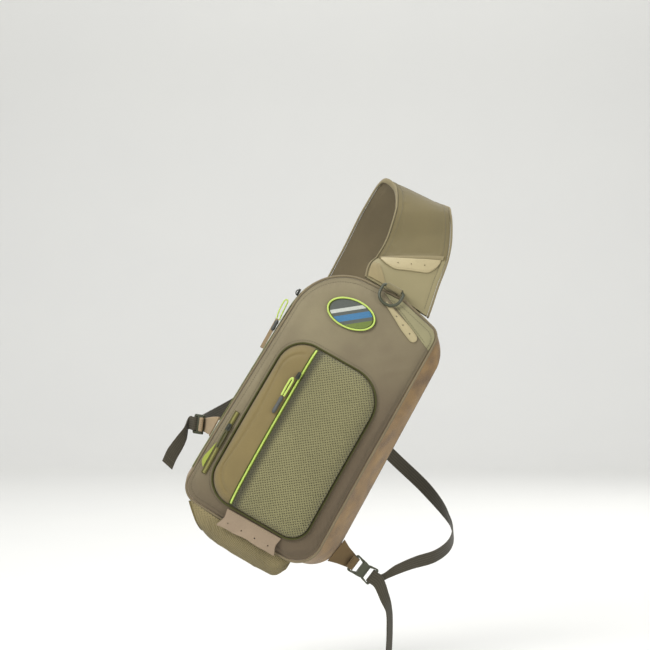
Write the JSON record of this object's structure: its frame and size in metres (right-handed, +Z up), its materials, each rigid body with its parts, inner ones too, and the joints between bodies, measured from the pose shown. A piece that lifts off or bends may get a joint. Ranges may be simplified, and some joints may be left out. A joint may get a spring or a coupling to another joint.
{
  "type": "sling tackle bag",
  "caption": "Tapered sling tackle bag with a moulded front pocket, mesh sleeve, padded shoulder strap, D-ring and webbing loop, in its worn shape.",
  "frame": {"origin": "under the shoulder strap at the highest point of its middle line, where it sits on the shoulder", "axes": "+Z up, +X to the right as the front is seen, +Y from the front of the bag to the rear of the strap loop"},
  "size_m": [0.4364, 0.4053, 0.7165],
  "materials": {
    "front_cloth": "matt woven cloth",
    "corner_cloth": "matt woven cloth",
    "gusset_cloth": "brushed softshell",
    "back_mesh": "padded air mesh",
    "zip_tape": "zip tape",
    "lime": "lime zip and cord",
    "pocket_shell": "moulded softshell",
    "pocket_weave": "open woven cloth",
    "piping": "dark olive binding",
    "edge_piping": "beige piping",
    "cream_leather": "pale leather",
    "pink_leather": "pinkish leather",
    "tan_cloth": "tan webbing",
    "strap_cloth": "padded cloth",
    "webbing": "woven webbing",
    "plastic": "moulded plastic",
    "slider": "dark coated metal",
    "mesh": "mesh",
    "badge": "moulded badge"
  },
  "bodies": {
    "bag": {"front_panel_lower": "front_cloth", "front_panel_upper": "front_cloth", "corner_panel": "corner_cloth", "back_panel": "back_mesh", "bottom_gusset": "gusset_cloth", "right_gusset": "gusset_cloth", "zip_band_front": "front_cloth", "main_zip": "zip_tape", "zip_band_back": "front_cloth", "front_piping": "edge_piping", "corner_trim": "cream_leather", "pocket_strip": "pocket_shell", "pocket_zip": "lime", "pocket_mesh": "pocket_weave", "pocket_piping": "piping", "side_zip": "zip_tape", "side_slider": "slider", "side_pull_cord": "piping", "pocket_slider": "slider", "pocket_pull_cord": "lime", "pocket_pull_grip": "plastic", "main_slider": "slider", "main_pull_cord": "lime", "main_pull_grip": "plastic", "badge": "badge", "badge_rim": "lime", "bottom_trim": "pink_leather", "mesh_sleeve": "mesh", "sleeve_hem": "piping", "upper_tab": "tan_cloth", "ring_keeper": "tan_cloth", "ladder_lock": "plastic", "left_wing": "tan_cloth", "buckle_female": "plastic", "buckle_male": "plastic", "right_wing": "gusset_cloth", "shoulder_strap": "strap_cloth", "strap_binding_inner": "strap_cloth", "strap_binding_outer": "strap_cloth", "strap_trim": "cream_leather", "main_webbing": "webbing", "stabiliser_webbing": "webbing"},
    "ring": {"d_ring": "plastic"}
  },
  "joints": [
    {"name": "ring_swing", "type": "hinge", "parent": "bag", "child": "ring", "pos_m": [-0.04066, -0.16615, -0.13458], "axis": [-0.8713, 0.0872, 0.483], "range_deg": [0, 140]}
  ]
}
